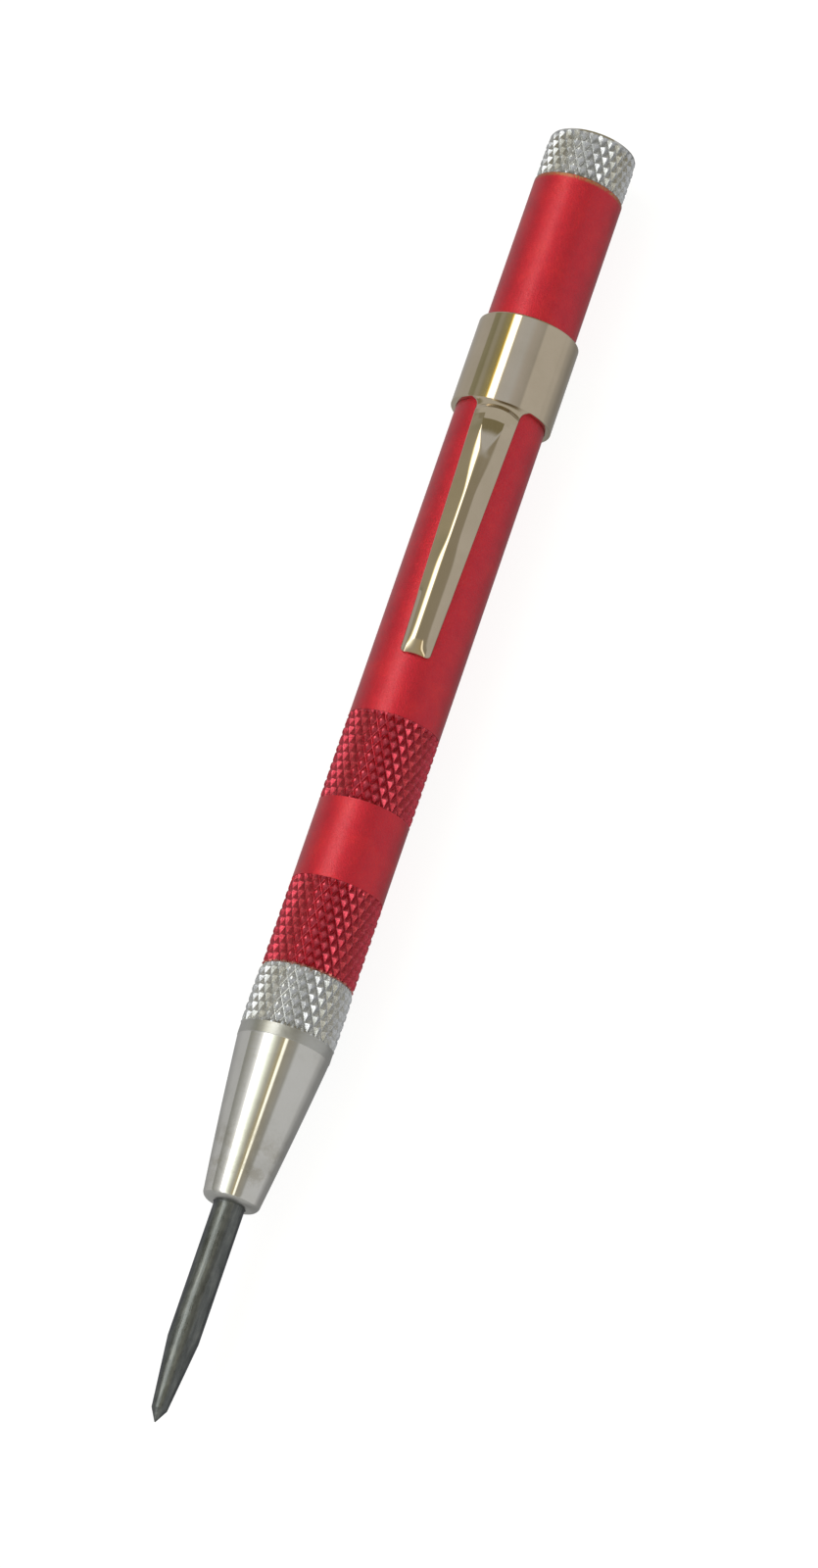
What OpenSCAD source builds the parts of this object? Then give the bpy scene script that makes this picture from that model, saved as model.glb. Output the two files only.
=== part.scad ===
// Pocket automatic center punch.
// Pushing the point in lifts a hammer against a spring. Near the end of the
// stroke a leaning pin is cammed straight, the hammer drops over it and strikes.
// Every piece is drawn upright, along +Z from the tip of the point, and lay()
// then lays it down along +X with the pocket clip on top.

/* [Point] */
// Diameter of the replaceable point
point_d = 3.175; // [2.6:0.025:3.6]
// Length of point that stands out of the nose at rest
point_out = 22.68; // [18:0.02:26]
// Length of the ground end, from the tip to the full diameter
taper_len = 8.6; // [5:0.1:12]
// Diameter of the ground end where the striking tip begins
tip_d = 1.6; // [1:0.05:2.2]
// Included angle of the striking tip
tip_angle = 60; // [50:1:100]
// Length of the relief groove between the shank and its bearing land
relief_len = 2.4; // [1.6:0.1:4]
// Depth of the relief groove
relief_depth = 0.25; // [0.2:0.01:0.3]
// Length of the stud that screws into the plunger
stud_len = 6; // [4:0.1:7]

/* [Nose] */
// Length of the nose outside the barrel
nose_len = 24.14; // [20:0.02:28]
// Diameter of the cone just behind the rounded front edge
nose_front_d = 5.9; // [5.4:0.05:6.6]
// Diameter at the wide end of the cone
nose_cone_d = 9.56; // [8.8:0.02:9.6]
// Length of the cone
cone_len = 16.62; // [13:0.02:17]
// How far the cone swells at its middle
cone_crown = 0.05; // [0:0.01:0.2]
// Radius of the rounded front edge
nose_round = 0.85; // [0.2:0.05:1]
// Length of the smooth collar between the cone and the knurling
collar_len = 1.2; // [0.6:0.1:2]
// Diameter of the collar
collar_d = 9.64; // [9.6:0.02:9.8]
// Diameter over the nose's knurling
nose_grip_d = 9.82; // [9.8:0.02:10.4]
// Length of the threaded spigot inside the barrel
spigot_len = 7.5; // [5:0.1:8.5]
// Depth of the plunger's bore into the nose, from the joint
plunger_bore_len = 13.82; // [10:0.02:15]

/* [Barrel] */
// Diameter of the barrel
barrel_d = 9.525; // [9.4:0.025:9.6]
// Length of the barrel
barrel_len = 89.27; // [86:0.01:96]
// Diameter over the barrel's knurling
grip_d = 9.63; // [9.6:0.01:9.8]
// Length of the knurling at the nose end
front_grip_len = 9.55; // [6:0.05:14]
// Plain length between the two knurled bands
grip_gap = 8.49; // [4:0.01:10]
// Length of the second knurled band
rear_grip_len = 9.68; // [6:0.02:12]
// Diameter of the long bores, in front of and behind the inner land
bore_d = 6.7; // [6.6:0.05:7]
// Distance from the nose joint to the inner land
land_from_joint = 31.18; // [29:0.02:34]
// Length of the inner land
land_len = 3; // [2:0.1:4]
// Hole through the inner land
land_hole_d = 3.7; // [3.6:0.02:4]
// Outside diameter of the threads at both ends
thread_d = 7.94; // [7.7:0.02:8.1]
// Pitch of the threads
thread_pitch = 0.794; // [0.7:0.001:0.9]

/* [Clip] */
// Thickness of the clip's sheet
clip_sheet = 0.56; // [0.4:0.02:0.7]
// Distance from the clip's band to the cap joint
clip_from_cap = 16.74; // [12:0.02:20]
// Length of the band
band_len = 9.77; // [7:0.01:12]
// Length of the tongue, from the band to its free end
tongue_len = 28.58; // [22:0.02:30]
// Width of the tongue at the band
tongue_root_w = 4.66; // [4:0.02:5.4]
// Width of the tongue at its free end
tongue_end_w = 3.15; // [2.6:0.05:3.6]
// Radius of the corners between band and tongue
clip_corner = 1; // [0.5:0.05:1.2]
// How far the tongue's flanges rise above the barrel's top at the band
tongue_rise = 0.84; // [0.7:0.02:1.2]
// Height of the pressed rib above the flanges
rib_height = 0.42; // [0.2:0.02:0.6]
// Width of the pressed rib
rib_w = 1.7; // [1.2:0.05:2]

/* [Cap] */
// Length of the knurled head
cap_len = 5.3; // [4:0.05:8]
// Diameter over the cap's knurling
cap_d = 9.46; // [9.3:0.02:9.5]
// Length of the cap's thread
cap_thread_len = 9.5; // [8:0.1:12]

/* [Mechanism] */
// Travel of the point
stroke = 9; // [7:0.1:9.4]
// Diameter of the plunger
plunger_d = 5.4; // [5.2:0.02:5.6]
// Length of the plunger
plunger_len = 20.98; // [19:0.02:22]
// Diameter of the pin's ball foot
foot_d = 3; // [2.6:0.1:3.2]
// Diameter of the pin's collar, which carries the return spring
pin_collar_d = 5.8; // [5.6:0.05:6]
// Thickness of the pin's collar
pin_collar_len = 1; // [0.6:0.1:1.6]
// Diameter of the pin between collar and shoulder
pin_shank_d = 2.4; // [2:0.1:2.8]
// Diameter of the shoulder that the hammer strikes
pin_shoulder_d = 3.36; // [3:0.02:3.4]
// Length of the shoulder, its cone included
pin_shoulder_len = 3.4; // [2:0.1:4]
// Diameter of the pin's stem
stem_d = 2; // [1.8:0.02:2.04]
// Angle by which the pin leans at rest
pin_lean = 1.5; // [1.2:0.05:1.6]
// How far the shoulder stands behind the land when the hammer drops
strike_lift = 0.4; // [0.2:0.05:1]
// Diameter of the hammer
hammer_d = 6.54; // [6.3:0.02:6.54]
// Length of the hammer
hammer_len = 20; // [17:0.1:22]
// Diameter of the hammer's hole
hammer_hole_d = 2.3; // [2.26:0.02:2.5]
// Wire of the main spring
main_wire = 1; // [0.8:0.05:1.1]
// Turns of the main spring
main_turns = 12; // [9:1:13]
// Wire of the return spring
return_wire = 0.5; // [0.4:0.05:0.55]
// Turns of the return spring
return_turns = 14; // [10:1:17]
// Thickness of the spring seat under the cap
seat_len = 1.2; // [0.8:0.1:2]

/* [Fits] */
// Radial clearance of sliding and turning pieces
running_fit = 0.05; // [0.02:0.01:0.09]
// Radial clearance of the point in the nose
point_fit = 0.09; // [0.05:0.01:0.1]
// Gap between faces that meet but move apart
face_gap = 0.03; // [0.02:0.01:0.06]
// Gap between the barrel and the clip's band
band_fit = 0.04; // [0.02:0.01:0.08]

/* [Hidden] */
$fn = 96;
// Overrun of a cut past the face that it opens
cut = 1;

// Free length between the pin's collar and what lies in front of it
collar_clear = 0.9;

// Stations along the axis, measured from the tip of the point
nose_z = point_out;
cone_end_z = nose_z + cone_len;
nose_grip_z = cone_end_z + collar_len;
joint_z = nose_z + nose_len;
spigot_end_z = joint_z + spigot_len;
cap_z = joint_z + barrel_len;
cap_shank_z = cap_z - cap_thread_len;
total_len = cap_z + cap_len;
plunger_stop_z = joint_z - plunger_bore_len;
plunger_z = plunger_stop_z + face_gap;
plunger_end_z = plunger_z + plunger_len;
foot_z = plunger_end_z - foot_d / 2;
pin_collar_z = max(plunger_end_z, spigot_end_z) + collar_clear;
pin_collar_end_z = pin_collar_z + pin_collar_len;
land_z = joint_z + land_from_joint;
hammer_z = land_z + land_len;
hammer_end_z = hammer_z + hammer_len;
pin_shoulder_end_z = hammer_z + strike_lift - stroke;
seat_z = cap_shank_z - face_gap - seat_len;
band_end_z = cap_z - clip_from_cap;
band_z = band_end_z - band_len;
tongue_end_z = band_z - tongue_len;

// Radii
barrel_r = barrel_d / 2;
bore_r = bore_d / 2;
band_in_r = barrel_r + band_fit;
band_r = band_in_r + clip_sheet;
axis_h = band_r;
female_r = thread_d / 2 + running_fit;
thread_depth = 0.54 * thread_pitch;
// Free length at each end of a thread's bore
thread_relief = 0.6;
small_edge = 0.15;
knurl_edge = 0.1;

function arc(centre, r, a0, a1, n = 8) =
    [for (i = [0 : n]) centre + r * [cos(a0 + (a1 - a0) * i / n), sin(a0 + (a1 - a0) * i / n)]];

// Outline of a thread's crests and roots, from z0 up to z1
function thread_outline(r, depth, pitch, z0, z1) =
    [for (i = [0 : floor((z1 - z0) / pitch) - 1]) for (p = [[0.1, 0], [0.5, -depth], [0.9, 0]])
        [r + p[1], z0 + (i + p[0]) * pitch]];

// Lays a piece down: its +Z becomes +X and its +X becomes +Z
module lay() {
    translate([-total_len / 2, 0, axis_h]) rotate([0, 90, 0]) rotate([0, 0, 180]) children();
}

module bore(r, z0, z1) {
    translate([0, 0, z0]) cylinder(r = r, h = z1 - z0);
}

// Knurled band as its plain envelope, with a small edge at each end
module knurled_band(d, z0, z1) {
    r = d / 2;
    rotate_extrude() polygon([[0, z0], [r - knurl_edge, z0], [r, z0 + knurl_edge],
                              [r, z1 - knurl_edge], [r - knurl_edge, z1], [0, z1]]);
}

// Spring wire swept along a helix, with a nearly closed turn at each end
module spring(r, wire, turns, z0, z1, sides, steps) {
    closed = 1.06 * wire;
    pitch = (z1 - z0 - wire - 2 * closed) / (turns - 2);
    function rise(t) = wire / 2 + (t < 1 ? closed * t : t > turns - 1
        ? closed + (turns - 2) * pitch + closed * (t - turns + 1) : closed + (t - 1) * pitch);
    rings = turns * steps;
    points = [for (i = [0 : rings]) let (a = 360 * i / steps, h = z0 + rise(i / steps))
        for (k = [0 : sides - 1]) let (b = 360 * k / sides, q = r + wire / 2 * cos(b))
            [q * cos(a), q * sin(a), h + wire / 2 * sin(b)]];
    walls = [for (i = [0 : rings - 1]) for (k = [0 : sides - 1])
        let (a = i * sides + k, b = i * sides + (k + 1) % sides) each [[a, b, a + sides],
            [b, b + sides, a + sides]]];
    ends = [[for (k = [0 : sides - 1]) sides - 1 - k], [for (k = [0 : sides - 1]) rings * sides + k]];
    polyhedron(points, concat(walls, ends));
}

module barrel() {
    front_grip_end = joint_z + front_grip_len;
    rear_grip = front_grip_end + grip_gap;
    color([0.72, 0.10, 0.14]) lay() difference() {
        union() {
            rotate_extrude() polygon([[0, joint_z], [barrel_r - knurl_edge, joint_z],
                [barrel_r, joint_z + knurl_edge], [barrel_r, cap_z - knurl_edge],
                [barrel_r - knurl_edge, cap_z], [0, cap_z]]);
            knurled_band(grip_d, joint_z, front_grip_end);
            knurled_band(grip_d, rear_grip, rear_grip + rear_grip_len);
        }
        bore(female_r, joint_z - cut, spigot_end_z + thread_relief);
        bore(bore_r, joint_z - cut, land_z);
        bore(land_hole_d / 2, land_z - cut, hammer_z + cut);
        translate([0, 0, land_z - face_gap])
            cylinder(r1 = land_hole_d / 2 + small_edge * 2, r2 = land_hole_d / 2, h = small_edge * 2);
        bore(bore_r, hammer_z, cap_z + cut);
        bore(female_r, cap_shank_z - thread_relief, cap_z + cut);
    }
}

module nose_piece() {
    front_r = nose_front_d / 2;
    back_r = nose_cone_d / 2;
    steps = 10;
    // The cone's outline bulges by cone_crown at the middle of its length
    cone = [for (i = [0 : steps]) let (t = i / steps)
        [front_r + (back_r - front_r) * t + 4 * cone_crown * t * (1 - t),
         nose_z + nose_round + (cone_len - nose_round) * t]];
    spigot_r = thread_d / 2;
    color([0.74, 0.74, 0.72]) lay() difference() {
        union() {
            rotate_extrude() polygon(concat([[0, nose_z]],
                arc([front_r - nose_round, nose_z + nose_round], nose_round, -90, 0), cone,
                [[collar_d / 2, cone_end_z + knurl_edge], [collar_d / 2, nose_grip_z + knurl_edge],
                 [0, nose_grip_z + knurl_edge]]));
            knurled_band(nose_grip_d, nose_grip_z, joint_z);
            rotate_extrude() polygon(concat([[0, joint_z - cut], [spigot_r - thread_depth, joint_z - cut],
                [spigot_r - thread_depth, joint_z + thread_relief]],
                thread_outline(spigot_r, thread_depth, thread_pitch, joint_z + thread_relief,
                               spigot_end_z - small_edge),
                [[spigot_r - thread_depth, spigot_end_z], [0, spigot_end_z]]));
        }
        bore(point_d / 2 + point_fit, nose_z - cut, spigot_end_z + cut);
        bore(plunger_d / 2 + running_fit, plunger_stop_z, spigot_end_z + cut);
    }
}

// A relief groove at the nose's mouth parts the shank from its bearing land, which is
// a little larger and runs in the nose
module punch_point() {
    tip_r = tip_d / 2;
    r = point_d / 2;
    land_r = r + point_fit - running_fit;
    relief_r = r - relief_depth;
    relief_start = nose_z - small_edge;
    land_start = relief_start + relief_len;
    stud_end = plunger_z + stud_len;
    depth = 0.36;
    pitch = 0.635;
    color([0.30, 0.31, 0.32]) lay() rotate_extrude()
        polygon(concat([[0, 0], [tip_r, tip_r / tan(tip_angle / 2)], [r, taper_len], [r, relief_start],
            [relief_r, relief_start + relief_depth], [relief_r, land_start - relief_depth],
            [land_r, land_start], [land_r, plunger_z - pitch],
            [r - depth, plunger_z - pitch + depth], [r - depth, plunger_z]],
            thread_outline(r, depth, pitch, plunger_z, stud_end),
            [[r - depth, stud_end], [0, stud_end]]));
}

module plunger() {
    cup_r = foot_d / 2 + running_fit;
    r = plunger_d / 2;
    color([0.55, 0.56, 0.58]) lay() difference() {
        rotate_extrude() polygon([[0, plunger_z], [r - small_edge, plunger_z], [r, plunger_z + small_edge],
            [r, plunger_end_z - small_edge], [r - small_edge, plunger_end_z], [0, plunger_end_z]]);
        bore(point_d / 2 + running_fit, plunger_z - cut, plunger_z + stud_len + thread_relief);
        bore(cup_r, foot_z, plunger_end_z + cut);
        translate([0, 0, foot_z]) sphere(r = cup_r);
    }
}

module release_pin() {
    stem_top = hammer_z - face_gap * 2;
    cone = pin_shoulder_len / 4;
    shoulder_r = pin_shoulder_d / 2;
    strike_r = (stem_d + pin_shoulder_d) / 4 + small_edge / 2;
    collar_r = pin_collar_d / 2;
    shank_r = pin_shank_d / 2;
    foot_neck = sqrt(pow(foot_d / 2, 2) - pow(shank_r, 2));
    color([0.50, 0.51, 0.53]) lay() translate([0, 0, foot_z]) rotate([0, pin_lean, 0])
        translate([0, 0, -foot_z]) union() {
            translate([0, 0, foot_z]) sphere(r = foot_d / 2);
            rotate_extrude() polygon([[0, foot_z], [shank_r, foot_z + foot_neck], [shank_r, pin_collar_z],
                [collar_r, pin_collar_z], [collar_r, pin_collar_end_z], [shank_r, pin_collar_end_z],
                [shank_r, pin_shoulder_end_z - pin_shoulder_len],
                [shoulder_r, pin_shoulder_end_z - pin_shoulder_len + cone],
                [shoulder_r, pin_shoulder_end_z - cone], [strike_r, pin_shoulder_end_z],
                [stem_d / 2, pin_shoulder_end_z], [stem_d / 2, stem_top], [0, stem_top]]);
        }
}

module return_spring() {
    // Clears the collar's edge, which the lean lifts
    lift = pin_collar_d / 2 * sin(pin_lean) + face_gap;
    coil_r = bore_r - return_wire / 2 - 7 * running_fit;
    color([0.62, 0.64, 0.66]) lay()
        spring(coil_r, return_wire, return_turns, pin_collar_end_z + lift, land_z - face_gap, 6, 18);
}

module hammer() {
    r = hammer_d / 2;
    nib_r = bore_r - 3 * running_fit - main_wire * 1.3;
    nib_end = hammer_end_z + 3 * main_wire;
    hole_end = hammer_z + stroke + main_wire;
    color([0.47, 0.48, 0.50]) lay() difference() {
        rotate_extrude() polygon([[0, hammer_z + face_gap], [r - small_edge, hammer_z + face_gap],
            [r, hammer_z + face_gap + small_edge], [r, hammer_end_z - small_edge],
            [r - small_edge, hammer_end_z], [nib_r, hammer_end_z], [nib_r, nib_end - small_edge],
            [nib_r - small_edge, nib_end], [0, nib_end]]);
        bore(hammer_hole_d / 2, hammer_z - cut, hole_end);
    }
}

module main_spring() {
    coil_r = bore_r - 3 * running_fit - main_wire / 2;
    color([0.58, 0.60, 0.62]) lay()
        spring(coil_r, main_wire, main_turns, hammer_end_z + face_gap, seat_z - face_gap, 8, 20);
}

module spring_seat() {
    r = hammer_d / 2;
    color([0.66, 0.67, 0.68]) lay() rotate_extrude()
        polygon([[0, seat_z], [r - small_edge, seat_z], [r, seat_z + small_edge],
                 [r, seat_z + seat_len - small_edge], [r - small_edge, seat_z + seat_len],
                 [0, seat_z + seat_len]]);
}

module adjusting_cap() {
    shank_r = thread_d / 2;
    core_r = shank_r - thread_depth;
    head_z = cap_z + face_gap;
    head_r = cap_d / 2;
    color([0.76, 0.76, 0.75]) lay() union() {
        rotate_extrude() polygon([[0, head_z], [head_r - knurl_edge, head_z], [head_r, head_z + knurl_edge],
            [head_r, total_len - 5 * knurl_edge], [head_r - knurl_edge, total_len - knurl_edge],
            [head_r - 2 * knurl_edge, total_len], [0, total_len]]);
        rotate_extrude() polygon(concat([[0, cap_shank_z], [core_r, cap_shank_z],
            [core_r, cap_shank_z + small_edge]],
            thread_outline(shank_r, thread_depth, thread_pitch, cap_shank_z + small_edge,
                           cap_z - thread_relief),
            [[core_r, cap_z - thread_relief], [core_r, head_z + knurl_edge], [0, head_z + knurl_edge]]));
    }
}

// The plane where the tongue flexes, in the neck below the band
flex_z = band_z - clip_corner * 0.8;
// Where the flat of the tongue begins, past its set
flat_z = flex_z - 1.1;
root_w = tongue_root_w / 2;
end_w = tongue_end_w / 2;
// Underside of the flanges, at the band and where they touch the barrel
flange_root_h = barrel_r + tongue_rise - clip_sheet;
flange_end_h = sqrt(pow(barrel_r + face_gap, 2) - pow(end_w * 0.87, 2));
lip_len = 1.2;
lip_h = 0.22;

// Solid above the barrel whose plan, seen from above, is an outline of [across, along] points
module plan_prism(outline) {
    rotate([90, 0, 90]) linear_extrude(height = band_r * 2) polygon(outline);
}

module clip_band() {
    c = clip_corner;
    top = band_z + cut;
    right = arc([root_w + c, band_z - c], c, 90, 180);
    left = arc([-root_w - c, band_z - c], c, 0, 90);
    color([0.62, 0.58, 0.48]) lay() difference() {
        union() {
            bore(band_r, band_z, band_end_z);
            intersection() {
                bore(band_r, flex_z, top);
                plan_prism(concat([[root_w + c, top]], right, [[root_w, flex_z - cut]],
                                  [[-root_w, flex_z - cut]], left, [[-root_w - c, top]]));
            }
        }
        bore(band_in_r, flex_z - cut, band_end_z + cut);
    }
}

// Side view of the tongue, as [height, along] points, from its underside up by a thickness
function tongue_side(thick) = [
    [flange_root_h - 0.75, flex_z - 0.1], [flange_root_h - 0.3, flat_z + 0.35], [flange_root_h, flat_z],
    [flange_end_h, tongue_end_z + lip_len], [flange_end_h + lip_h, tongue_end_z - cut],
    [flange_end_h + lip_h + thick, tongue_end_z - cut], [flange_end_h + thick, tongue_end_z + lip_len],
    [flange_root_h + thick, flat_z], [flange_root_h + thick - 0.2, flat_z + 0.3],
    [flange_root_h + thick - 0.8, flex_z - 0.1]];

module tongue_slab(thick) {
    translate([0, band_r, 0]) rotate([90, 0, 0]) linear_extrude(height = band_r * 2)
        polygon(tongue_side(thick));
}

module clip_tongue() {
    corner = end_w / 3;
    // Radius of the rib's round top, from its width and height
    rib_r = (pow(rib_w / 2, 2) + pow(rib_height, 2)) / (2 * rib_height);
    rib_drop = clip_sheet + rib_height - rib_r;
    rib_len = flat_z - tongue_end_z + cut;
    rib_slope = atan((flange_root_h - flange_end_h) / (flat_z - tongue_end_z - lip_len));
    outline = concat([[root_w, flex_z + cut], [root_w, flex_z]],
        arc([end_w - corner, tongue_end_z + corner], corner, 0, -90),
        arc([corner - end_w, tongue_end_z + corner], corner, -90, -180),
        [[-root_w, flex_z], [-root_w, flex_z + cut]]);
    color([0.62, 0.58, 0.48]) lay() difference() {
        intersection() {
            plan_prism(outline);
            union() {
                difference() {
                    bore(band_r, flat_z, flex_z - face_gap);
                    bore(band_in_r, flat_z - cut, flex_z + cut);
                }
                tongue_slab(clip_sheet);
                intersection() {
                    tongue_slab(clip_sheet + rib_height);
                    translate([flange_root_h + rib_drop, 0, flat_z]) rotate([0, 180 + rib_slope, 0]) union() {
                        cylinder(r = rib_r, h = rib_len);
                        sphere(r = rib_r);
                    }
                }
            }
        }
        bore(barrel_r + face_gap, tongue_end_z - 2 * cut, flex_z + cut);
    }
}

barrel();
nose_piece();
punch_point();
plunger();
release_pin();
return_spring();
hammer();
main_spring();
spring_seat();
adjusting_cap();
clip_band();
clip_tongue();
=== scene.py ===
import bmesh
import bpy
import math
from mathutils import Matrix, Vector, noise


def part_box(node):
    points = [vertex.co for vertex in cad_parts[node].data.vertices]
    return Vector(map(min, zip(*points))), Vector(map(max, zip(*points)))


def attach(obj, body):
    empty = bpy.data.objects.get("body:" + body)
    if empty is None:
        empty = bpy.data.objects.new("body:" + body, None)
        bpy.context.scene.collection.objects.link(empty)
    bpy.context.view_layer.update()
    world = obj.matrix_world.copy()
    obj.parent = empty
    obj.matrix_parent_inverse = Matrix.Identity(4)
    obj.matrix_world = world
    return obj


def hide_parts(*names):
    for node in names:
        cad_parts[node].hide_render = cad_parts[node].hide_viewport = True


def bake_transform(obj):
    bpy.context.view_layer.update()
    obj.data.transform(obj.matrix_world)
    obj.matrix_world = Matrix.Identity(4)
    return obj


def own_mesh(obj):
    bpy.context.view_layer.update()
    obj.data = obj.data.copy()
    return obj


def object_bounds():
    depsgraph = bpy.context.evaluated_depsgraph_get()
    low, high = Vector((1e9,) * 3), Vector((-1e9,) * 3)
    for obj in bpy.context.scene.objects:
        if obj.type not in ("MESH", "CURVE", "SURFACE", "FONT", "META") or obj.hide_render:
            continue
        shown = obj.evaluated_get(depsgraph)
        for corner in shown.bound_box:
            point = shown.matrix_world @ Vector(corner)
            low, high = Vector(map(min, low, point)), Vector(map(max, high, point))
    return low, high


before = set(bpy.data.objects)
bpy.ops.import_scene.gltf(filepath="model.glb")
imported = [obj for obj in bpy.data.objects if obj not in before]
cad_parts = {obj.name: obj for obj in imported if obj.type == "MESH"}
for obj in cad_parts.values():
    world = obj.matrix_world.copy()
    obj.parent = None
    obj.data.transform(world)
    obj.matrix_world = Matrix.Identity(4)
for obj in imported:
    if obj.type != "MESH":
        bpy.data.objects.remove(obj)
cad_low, cad_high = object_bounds()

# Lengths in this script are in millimetres, as stations along the axis from the tip of
# the point and as radii. MM takes them to the frame's metres.
MM = 0.001
TAU = 2 * math.pi
WELD = 2e-7  # metres
TOLERANCE = 1e-6

WHITE = (1.0, 1.0, 1.0, 1.0)
RED_TINT = (0.6, 0.4, 0.45, 1.0)

# The frame's own measures
TOTAL = (cad_high.x - cad_low.x) / MM
TIP_X = cad_low.x / MM
AXIS_Z = (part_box("barrel")[0].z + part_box("barrel")[1].z) / 2 / MM


def station(x):
    return x / MM - TIP_X


JOINT = station(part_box("barrel")[0].x)
CAP = station(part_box("barrel")[1].x)
NOSE = station(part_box("nose_piece")[0].x)
SPIGOT_END = station(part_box("nose_piece")[1].x)
BAND_END = station(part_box("clip_band")[1].x)
TONGUE_END = station(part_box("clip_tongue")[0].x)
CAP_SHANK = station(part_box("adjusting_cap")[0].x)
BAND_R = (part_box("clip_band")[1].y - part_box("clip_band")[0].y) / 2 / MM
RIDGE_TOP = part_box("clip_tongue")[1].z / MM - AXIS_Z

# Outside
BARREL_R = 4.7625
BARREL_GRIP_R = 4.815
NOSE_GRIP_R = 4.91
CAP_GRIP_R = 4.73
CONE_LEN = 16.62
CONE_FRONT_R = 2.95
CONE_BACK_R = 4.78
CONE_CROWN = 0.05
NOSE_ROUND = 0.85
COLLAR_R = 4.82
COLLAR_LEN = 1.2
COLLAR_BEVEL = 0.08
FRONT_GRIP_LEN = 9.55
GRIP_GAP = 8.49
REAR_GRIP_LEN = 9.68
CORE_GAP = 0.42
EDGE = 0.1

# Head of the cap: its gap to the barrel, the rim as distances from the end and in from the
# grip's radius, and a dimple in the end
HEAD_GAP = 0.03
HEAD_RIM = ((0.3, 0.1), (0.1, 0.2), (0.0, 0.35))
DIMPLE_R, DIMPLE_SLOPE, DIMPLE_DEPTH = 0.9, 0.3, 0.12

# How far plain stretches reach under the knurling, and the gap of hidden faces at the joint
LAP = 0.05
SEAM = 0.02

# Knurling: diamonds round the tool, their length, and the depth of the cut
DIAMONDS = 28
DIAMOND_LEN = 1.93
KNURL_DEPTH = 0.32
CREST_FLAT = 0.2
FLOOR_FLAT = 0.06
FALLOFF_LEN = 1.2
SPOTS = 4000  # places told apart along a diamond

# Unevenness of the knurling: how deep, its grain round and along the tool, and a finer grain
# with its share
UNEVEN = 0.014
UNEVEN_ROUND, UNEVEN_ALONG = 7.0, 1.6
UNEVEN_FINER, FINER_SHARE = 2.7, 0.7

# Fading of the knurling: how long it is, and how far under the plain stretch it ends
FADE = 0.12
FADE_SINK = 0.06
JOINT_FADE = 0.06
JOINT_SINK = 0.12

# Threads and bores
BORE_R = 3.35
FEMALE_R = 4.02
THREAD_R = 3.97
PITCH = 0.794
THREAD_DEPTH = 0.43
THREAD_CORE_R = THREAD_R - THREAD_DEPTH
THREAD_CREST = 1.25
LEAD_IN, RELIEF = 0.15, 0.6
LAND = 78.0
LAND_LEN = 3.0
LAND_HOLE_R = 1.85
LAND_CHAMFER = 0.3
FEMALE_FRONT_LEN = 8.1
FEMALE_REAR_LEN = 10.1
POINT_BORE_R = 1.6775
PLUNGER_BORE_R = 2.75
PLUNGER_STOP = 33.0

# Point
POINT_R = 1.5875
POINT_LAND_R = 1.6275
TAPER_LEN = 8.6
TIP_R = 0.8
TIP_WORN = ((0.04, 0.0), (0.07, 0.06))
TIP_SLOPE = math.tan(math.radians(30))
POINT_RELIEF_R = POINT_R - 0.25
POINT_STUD_R = POINT_R - 0.36
POINT_STUD_END = 39.03

# Springs: radius of the coil, wire and turns
RETURN_SPRING = (2.75, 0.5, 14)
MAIN_SPRING = (2.7, 1.0, 12)

# Clip: sheet and band, half widths of the tongue, and its corners
SHEET = 0.56
BAND_IN_R = 4.8025
BAND_SOFT = 0.14
BAND = 109.58
ROOT_W = 2.33
END_W = 1.575
END_CORNER = END_W / 3
NECK_R = 1.0
RIM = 0.12

# By the distance from the band: the share of the way from the band's height to the tongue's,
# a short steep step and then a ramp, and the height of the crease pressed in next to the band
NECK_END = 1.7
NECK_RISE = ((0.0, 0.0), (0.54, 0.0), (0.58, 0.05), (0.98, 0.66), (1.03, 0.69), (NECK_END, 1.0),
             (40.0, 1.0))
CREASE = ((0.0, 0.0), (0.11, -0.13), (0.54, -0.03), (0.98, 0.0), (40.0, 0.0))
NECK_ROWS = [0.06, 0.2, 0.3, 0.4, 0.5, 0.735, 0.9]
ROWS_FROM, ROWS_CLOSE_TO, ROWS_FINE_TO = 1.0, 2.74, 8.74

# Ridge of the tongue: slope of its flanges, how far these drop from it, and the width over
# which it bends, at its tightest, by the neck and by the end
ROOF = math.tan(math.radians(28))
ROOT_DROP = 0.88
END_DROP = 0.56
EDGE_END_H = 4.96
BEND = 0.42
NECK_BEND = 1.8
END_BEND = 1.1
NECK_BEND_SPAN = (98.5, 104.5)
END_BEND_SPAN = (94.5, 90.5)
RIDGE_FLAT = 0.35
FLAT_LOSS = 0.23

# The flat at the ridge's upper end, and how the ridge rises there and sinks below
TOP_SPAN = (103.2, 106.6)
TOP_BEND = 0.12
TOP_FLAT = 1.02
START_LEN, START_CURVE = 6.9, 0.0112
FOOT_LEN, FOOT_SLOPE = 2.4, 0.05
SWELL, SWELL_END = 0.085, 0.625
SINK_LEN, SINK_CURVE = 3.0, 0.028

# Hip at the tongue's end, and the flanges that droop next to it
HIP_LEN, HIP_H, HIP_SLOPE, HIP_CROWN, HIP_ROUND = 1.2, 0.12, 0.36, 0.05, 0.15
DROOP, DROOP_W, DROOP_SOFT = 0.75, 0.5, 0.1
DROOP_SPAN = (TONGUE_END + 7.5, TONGUE_END + 6.0)

# Rows across the tongue bow away from the band, and the end has a shallow notch
ROW_BOW, BOW_IN, BOW_OUT = 0.1, (0.0, 0.7), (5.2, 2.2)
NOTCH, NOTCH_W, NOTCH_LEN = 0.12, 1.1, 0.8
# Share of the painted shade on the step up from the crease
STEP_PAINTED_SHADE = 0.48


def place(s, r, a):
    """Row-frame point at a station, radius and angle, which is 0 on top and grows towards +Y."""
    return Vector(((s + TIP_X) * MM, r * math.sin(a) * MM, (AXIS_Z + r * math.cos(a)) * MM))


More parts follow.
